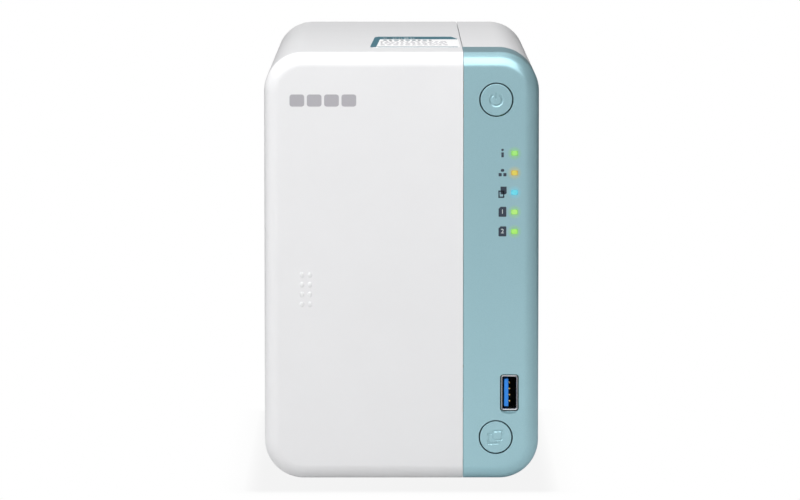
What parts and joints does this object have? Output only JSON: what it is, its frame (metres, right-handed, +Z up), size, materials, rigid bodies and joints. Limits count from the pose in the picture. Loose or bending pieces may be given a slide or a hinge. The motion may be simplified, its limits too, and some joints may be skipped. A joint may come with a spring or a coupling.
{
  "type": "network attached storage",
  "caption": "Upright desktop storage box with a slide-off white cover, pearl-blue front strip with push buttons and status lights, and drive trays inside.",
  "frame": {"origin": "on the table, under the middle of the body", "axes": "+X to the right seen from the front, +Y from the front face to the rear, +Z up"},
  "size_m": [0.105, 0.2263, 0.1681],
  "materials": {
    "white_shell": "smooth satin moulded plastic",
    "grey_print": "matt printed ink",
    "sticker_film": "coated paper film with teal print",
    "pearl_blue": "pearl lacquer, satin gloss",
    "rear_plastic": "fine-grained moulded plastic",
    "charcoal_plastic": "fine-grained moulded plastic",
    "slate_print": "matt printed ink",
    "light_pipe": "clear diffusing light pipe",
    "socket_steel": "bright nickel-plated steel",
    "blue_tongue": "satin plastic",
    "gold_contact": "gold flash",
    "board": "solder mask over glass laminate",
    "black_plastic": "fine-grained moulded plastic",
    "led_resin": "clear resin",
    "ribbon_film": "flat film cable",
    "sheet_steel": "zinc-plated sheet steel",
    "latch_blue": "satin moulded plastic",
    "screw_steel": "zinc-plated",
    "drive_casting": "cast and machined",
    "ivory_plastic": "moulded plastic",
    "brass_post": "turned",
    "chip_resin": "moulded resin",
    "capacitor_can": "sleeved can",
    "coil_ferrite": "pressed ferrite",
    "sink_aluminium": "extruded, anodised",
    "cell_steel": "nickel-plated",
    "bronze_bush": "sintered bronze",
    "fan_plastic": "satin moulded plastic",
    "black_screw": "black zinc",
    "rubber_foot": "matt rubber"
  },
  "bodies": {
    "chassis": {"front_bezel": "pearl_blue", "side_shell": "white_shell", "base_pan": "white_shell", "rear_panel": "rear_plastic", "bay_frame": "charcoal_plastic", "feet": "rubber_foot", "status_icons": "slate_print", "light_pipes": "light_pipe", "front_usb_shell": "socket_steel", "front_usb_tongue": "blue_tongue", "front_usb_contacts": "gold_contact", "front_board": "board", "front_switches": "black_plastic", "status_leds": "led_resin", "ribbon_cable": "ribbon_film", "cage_walls": "sheet_steel", "cage_decks": "sheet_steel", "cage_tabs": "sheet_steel", "centre_wall": "sheet_steel", "backplane_board": "board", "drive_connectors": "black_plastic", "link_connector": "ivory_plastic", "main_board": "board", "board_standoffs": "brass_post", "board_screws": "screw_steel", "chips": "chip_resin", "capacitors": "capacitor_can", "coils": "coil_ferrite", "heat_sink": "sink_aluminium", "coin_cell": "cell_steel", "cell_holder": "black_plastic", "lan_socket": "socket_steel", "rear_usb_shells": "socket_steel", "rear_usb_tongues": "blue_tongue", "power_jack": "black_plastic", "reset_switch": "black_plastic", "fan_frame": "black_plastic", "fan_bearing": "bronze_bush", "fan_screws": "black_screw", "case_screws": "black_screw"},
    "slide_cover": {"cover_shell": "white_shell", "cover_mark": "grey_print", "top_sticker": "sticker_film"},
    "drive_tray_1": {"tray_1": "charcoal_plastic", "latch_pin_1": "screw_steel", "drive_1": "drive_casting", "drive_1_board": "board", "drive_1_screws": "screw_steel"},
    "drive_tray_2": {"tray_2": "charcoal_plastic", "latch_pin_2": "screw_steel", "drive_2": "drive_casting", "drive_2_board": "board", "drive_2_screws": "screw_steel"},
    "tray_latch_1": {"latch_1": "latch_blue"},
    "tray_latch_2": {"latch_2": "latch_blue"},
    "power_key": {"power_button": "pearl_blue"},
    "copy_key": {"copy_button": "pearl_blue"},
    "reset_key": {"reset_button": "black_plastic"},
    "fan_wheel": {"fan_rotor": "fan_plastic"}
  },
  "joints": [
    {"name": "cover_slide", "type": "slide", "parent": "chassis", "child": "slide_cover", "axis": [-1, 0, 0], "range_m": [0, 0.16]},
    {"name": "tray_1_slide", "type": "slide", "parent": "chassis", "child": "drive_tray_1", "axis": [0, -1, 0], "range_m": [0, 0.15]},
    {"name": "tray_2_slide", "type": "slide", "parent": "chassis", "child": "drive_tray_2", "axis": [0, -1, 0], "range_m": [0, 0.15]},
    {"name": "latch_1_pivot", "type": "hinge", "parent": "drive_tray_1", "child": "tray_latch_1", "pos_m": [-0.0423, -0.0932, 0.078], "axis": [0, 0, -1], "range_deg": [0, 30]},
    {"name": "latch_2_pivot", "type": "hinge", "parent": "drive_tray_2", "child": "tray_latch_2", "pos_m": [-0.0076, -0.0932, 0.078], "axis": [0, 0, -1], "range_deg": [0, 30]},
    {"name": "power_button_press", "type": "slide", "parent": "chassis", "child": "power_key", "axis": [0, 1, 0], "range_m": [0, 0.001], "stiffness_N_per_m": 800, "springref_m": -0.001},
    {"name": "copy_button_press", "type": "slide", "parent": "chassis", "child": "copy_key", "axis": [0, 1, 0], "range_m": [0, 0.001], "stiffness_N_per_m": 800, "springref_m": -0.001},
    {"name": "reset_button_press", "type": "slide", "parent": "chassis", "child": "reset_key", "axis": [0, -1, 0], "range_m": [0, 0.0006], "stiffness_N_per_m": 400, "springref_m": -0.001},
    {"name": "fan_spin", "type": "hinge", "parent": "chassis", "child": "fan_wheel", "pos_m": [-0.013, 0.097, 0.084], "axis": [0, 1, 0], "continuous": true}
  ],
  "couplings": [
    {"joint": "tray_1_slide", "follows": "cover_slide", "ratio": 0.16},
    {"joint": "tray_2_slide", "follows": "cover_slide", "ratio": 0.33}
  ]
}
